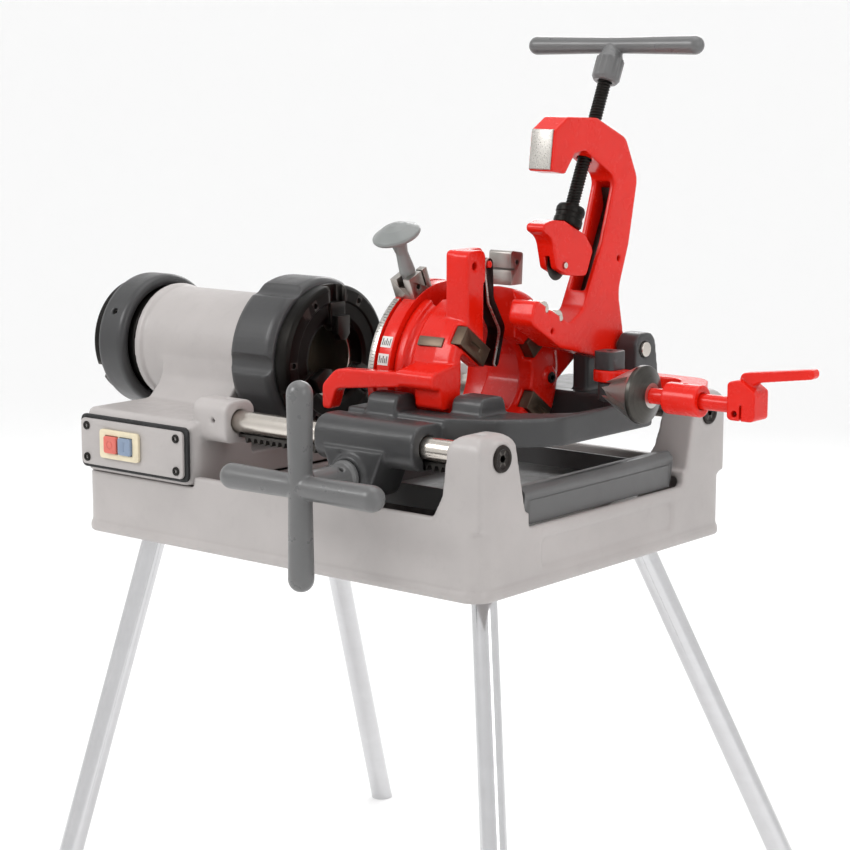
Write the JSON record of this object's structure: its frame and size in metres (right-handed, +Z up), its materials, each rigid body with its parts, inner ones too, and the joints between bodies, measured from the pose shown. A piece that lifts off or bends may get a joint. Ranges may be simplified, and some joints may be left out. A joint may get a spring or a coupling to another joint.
{
  "type": "pipe threading machine",
  "caption": "Free-standing pipe threading machine: hollow motor spindle with jaw chucks, sliding carriage with die head, pipe cutter and reamer, drip tub and splayed tube legs.",
  "frame": {"origin": "on the floor, under the middle of the machine's box", "axes": "+X along the spindle from the rear chuck to the tail end, -Y the side with the switch and hand wheel, +Z up"},
  "size_m": [1.16, 0.7543, 1.2394],
  "materials": {
    "paint_light": "satin warm light grey enamel over cast metal",
    "paint_grey": "semi-gloss dark grey enamel over cast iron",
    "paint_red": "glossy red enamel over cast iron",
    "leg_chrome": "bright plated steel tube",
    "rail_steel": "ground and polished steel",
    "gear_steel": "oiled cut gear steel",
    "black_steel": "blackened machined steel and iron",
    "tool_steel": "brown oiled tool steel",
    "bronze": "bearing bronze",
    "gasket_rubber": "black rubber",
    "switch_cream": "cream moulded plastic",
    "button_red": "red moulded plastic",
    "button_blue": "grey-blue moulded plastic",
    "motor_paint": "dark green-grey motor enamel"
  },
  "bodies": {
    "frame": {"base_casting": "paint_light", "leg_front_left": "leg_chrome", "leg_back_left": "leg_chrome", "leg_front_right": "leg_chrome", "leg_back_right": "leg_chrome", "front_rail": "rail_steel", "rear_rail": "rail_steel", "front_rail_plug": "tool_steel", "rear_rail_plug": "tool_steel", "feed_rack": "gear_steel", "headstock_housing": "paint_light", "front_bearing": "bronze", "rear_bearing": "bronze", "switch_gasket": "gasket_rubber", "switch_plate": "paint_light", "switch_body": "switch_cream", "motor": "motor_paint", "oil_pump": "paint_grey"},
    "stop_button": {"stop_button": "button_red"},
    "start_button": {"start_button": "button_blue"},
    "countershaft": {"countershaft": "gear_steel"},
    "rotor": {"motor_pinion": "gear_steel"},
    "spindle": {"spindle_tube": "rail_steel", "main_gear": "gear_steel", "chuck_body": "black_steel", "rear_chuck_body": "black_steel"},
    "hammer_ring": {"hammer_ring": "paint_grey"},
    "rear_ring": {"rear_ring": "paint_grey"},
    "carriage": {"carriage_casting": "paint_grey", "pivot_shaft": "rail_steel"},
    "handwheel": {"handwheel": "paint_grey", "feed_pinion": "gear_steel"},
    "die_head": {"die_head_frame": "paint_red", "stop_block": "rail_steel"},
    "cam": {"cam_plate": "paint_red", "cam_knob": "paint_grey"},
    "trip_lever": {"trip_lever": "black_steel"},
    "cutter": {"cutter_frame": "paint_red"},
    "slider": {"cutter_slider": "paint_red", "wheel_pin": "rail_steel"},
    "cutter_wheel": {"cutter_wheel": "black_steel"},
    "screw": {"feed_screw": "black_steel", "t_handle": "paint_grey"},
    "reamer_arm": {"reamer_arm": "paint_red", "reamer_cap": "paint_grey"},
    "reamer": {"reamer_bar": "paint_red", "reamer_cone": "black_steel"},
    "chip_tray": {"chip_tray": "paint_grey"},
    "chuck_jaw_1": {"chuck_jaw_1": "black_steel"},
    "rear_jaw_1": {"rear_jaw_1": "black_steel"},
    "chuck_jaw_2": {"chuck_jaw_2": "black_steel"},
    "rear_jaw_2": {"rear_jaw_2": "black_steel"},
    "chuck_jaw_3": {"chuck_jaw_3": "black_steel"},
    "rear_jaw_3": {"rear_jaw_3": "black_steel"},
    "chaser_1": {"chaser_1": "tool_steel"},
    "chaser_2": {"chaser_2": "tool_steel"},
    "chaser_3": {"chaser_3": "tool_steel"},
    "chaser_4": {"chaser_4": "tool_steel"},
    "cutter_roller_1": {"cutter_roller_1": "rail_steel"},
    "cutter_roller_2": {"cutter_roller_2": "rail_steel"}
  },
  "joints": [
    {"name": "stop_press", "type": "slide", "parent": "frame", "child": "stop_button", "axis": [0, 1, 0], "range_m": [0, 0.003], "stiffness_N_per_m": 900},
    {"name": "start_press", "type": "slide", "parent": "frame", "child": "start_button", "axis": [0, 1, 0], "range_m": [0, 0.003], "stiffness_N_per_m": 900},
    {"name": "spindle_turn", "type": "hinge", "parent": "frame", "child": "spindle", "pos_m": [-0.089, -0.04, 0.798], "axis": [1, 0, 0], "continuous": true},
    {"name": "countershaft_turn", "type": "hinge", "parent": "frame", "child": "countershaft", "pos_m": [-0.089, 0.00637, 0.7238], "axis": [1, 0, 0], "continuous": true},
    {"name": "motor_turn", "type": "hinge", "parent": "frame", "child": "rotor", "pos_m": [-0.089, 0.03449, 0.69028], "axis": [1, 0, 0], "continuous": true},
    {"name": "hammer_ring_turn", "type": "hinge", "parent": "spindle", "child": "hammer_ring", "pos_m": [-0.089, -0.04, 0.798], "axis": [1, 0, 0], "range_deg": [-90, 270]},
    {"name": "rear_ring_turn", "type": "hinge", "parent": "spindle", "child": "rear_ring", "pos_m": [-0.089, -0.04, 0.798], "axis": [1, 0, 0], "range_deg": [-90, 180]},
    {"name": "chuck_jaw_1_slide", "type": "slide", "parent": "spindle", "child": "chuck_jaw_1", "axis": [0, 0, 1], "range_m": [-0.0065, 0.019]},
    {"name": "rear_jaw_1_slide", "type": "slide", "parent": "spindle", "child": "rear_jaw_1", "axis": [0, 0, 1], "range_m": [-0.0056, 0.0112]},
    {"name": "chuck_jaw_2_slide", "type": "slide", "parent": "spindle", "child": "chuck_jaw_2", "axis": [0, -0.866, -0.5], "range_m": [-0.0065, 0.019]},
    {"name": "rear_jaw_2_slide", "type": "slide", "parent": "spindle", "child": "rear_jaw_2", "axis": [0, -0.866, -0.5], "range_m": [-0.0056, 0.0112]},
    {"name": "chuck_jaw_3_slide", "type": "slide", "parent": "spindle", "child": "chuck_jaw_3", "axis": [0, 0.866, -0.5], "range_m": [-0.0065, 0.019]},
    {"name": "rear_jaw_3_slide", "type": "slide", "parent": "spindle", "child": "rear_jaw_3", "axis": [0, 0.866, -0.5], "range_m": [-0.0056, 0.0112]},
    {"name": "carriage_slide", "type": "slide", "parent": "frame", "child": "carriage", "axis": [1, 0, 0], "range_m": [-0.14, 0.04]},
    {"name": "handwheel_turn", "type": "hinge", "parent": "carriage", "child": "handwheel", "pos_m": [0.05, -0.36, 0.6937], "axis": [0, 1, 0], "range_deg": [-132, 459]},
    {"name": "die_head_tilt", "type": "hinge", "parent": "carriage", "child": "die_head", "pos_m": [-0.089, 0.118, 0.83], "axis": [-1, 0, 0], "range_deg": [0, 80]},
    {"name": "cam_turn", "type": "hinge", "parent": "die_head", "child": "cam", "pos_m": [-0.089, -0.04, 0.798], "axis": [1, 0, 0], "range_deg": [0, 35]},
    {"name": "chaser_1_slide", "type": "slide", "parent": "die_head", "child": "chaser_1", "axis": [0, 0.8192, 0.5736], "range_m": [-0.0005, 0.0052]},
    {"name": "chaser_2_slide", "type": "slide", "parent": "die_head", "child": "chaser_2", "axis": [0, -0.8192, 0.5736], "range_m": [-0.0005, 0.0052]},
    {"name": "chaser_3_slide", "type": "slide", "parent": "die_head", "child": "chaser_3", "axis": [0, -0.8192, -0.5736], "range_m": [-0.0005, 0.0052]},
    {"name": "chaser_4_slide", "type": "slide", "parent": "die_head", "child": "chaser_4", "axis": [0, 0.8192, -0.5736], "range_m": [-0.0005, 0.0052]},
    {"name": "trip_lever_swing", "type": "hinge", "parent": "die_head", "child": "trip_lever", "pos_m": [0.111, -0.074, 0.95], "axis": [1, 0, 0], "range_deg": [-5, 7]},
    {"name": "cutter_tilt", "type": "hinge", "parent": "carriage", "child": "cutter", "pos_m": [0.175, 0.118, 0.83], "axis": [1, 0, 0], "range_deg": [0, 43]},
    {"name": "feed_screw_turn", "type": "hinge", "parent": "slider", "child": "screw", "pos_m": [0.175, 0.06135, 1.09771], "axis": [0, 0.4067, 0.9135], "range_deg": [-1260, 2700]},
    {"name": "cutter_feed", "type": "slide", "parent": "cutter", "child": "slider", "axis": [0, 0.4067, 0.9135], "range_m": [-0.0281, 0.0601]},
    {"name": "cutter_wheel_spin", "type": "hinge", "parent": "slider", "child": "cutter_wheel", "pos_m": [0.175, -0.00536, 0.94789], "axis": [1, 0, 0], "continuous": true},
    {"name": "cutter_roller_1_spin", "type": "hinge", "parent": "cutter", "child": "cutter_roller_1", "pos_m": [0.175, -0.04773, 0.89451], "axis": [1, 0, 0], "continuous": true},
    {"name": "cutter_roller_2_spin", "type": "hinge", "parent": "cutter", "child": "cutter_roller_2", "pos_m": [0.175, -0.01667, 0.88068], "axis": [1, 0, 0], "continuous": true},
    {"name": "reamer_swing", "type": "hinge", "parent": "carriage", "child": "reamer_arm", "pos_m": [0.229, 0.04, 0.8], "axis": [0, 0, 1], "range_deg": [0, 70]},
    {"name": "reamer_slide", "type": "slide", "parent": "reamer_arm", "child": "reamer", "axis": [1, 0, 0], "range_m": [-0.04, 0.018]},
    {"name": "tray_slide", "type": "slide", "parent": "frame", "child": "chip_tray", "axis": [1, 0, 0], "range_m": [0, 0.28]}
  ],
  "couplings": [
    {"joint": "countershaft_turn", "follows": "spindle_turn", "ratio": -4},
    {"joint": "motor_turn", "follows": "spindle_turn", "ratio": 7.1111},
    {"joint": "chuck_jaw_1_slide", "follows": "hammer_ring_turn", "m_per_rad": 0.004},
    {"joint": "rear_jaw_1_slide", "follows": "rear_ring_turn", "m_per_rad": 0.0035},
    {"joint": "chuck_jaw_2_slide", "follows": "hammer_ring_turn", "m_per_rad": 0.004},
    {"joint": "rear_jaw_2_slide", "follows": "rear_ring_turn", "m_per_rad": 0.0035},
    {"joint": "chuck_jaw_3_slide", "follows": "hammer_ring_turn", "m_per_rad": 0.004},
    {"joint": "rear_jaw_3_slide", "follows": "rear_ring_turn", "m_per_rad": 0.0035},
    {"joint": "handwheel_turn", "follows": "carriage_slide", "rad_per_m": -57.143},
    {"joint": "chaser_1_slide", "follows": "cam_turn", "m_per_rad": 0.008},
    {"joint": "chaser_2_slide", "follows": "cam_turn", "m_per_rad": 0.008},
    {"joint": "chaser_3_slide", "follows": "cam_turn", "m_per_rad": 0.008},
    {"joint": "chaser_4_slide", "follows": "cam_turn", "m_per_rad": 0.008},
    {"joint": "cutter_feed", "follows": "feed_screw_turn", "m_per_rad": 0.0012732}
  ]
}
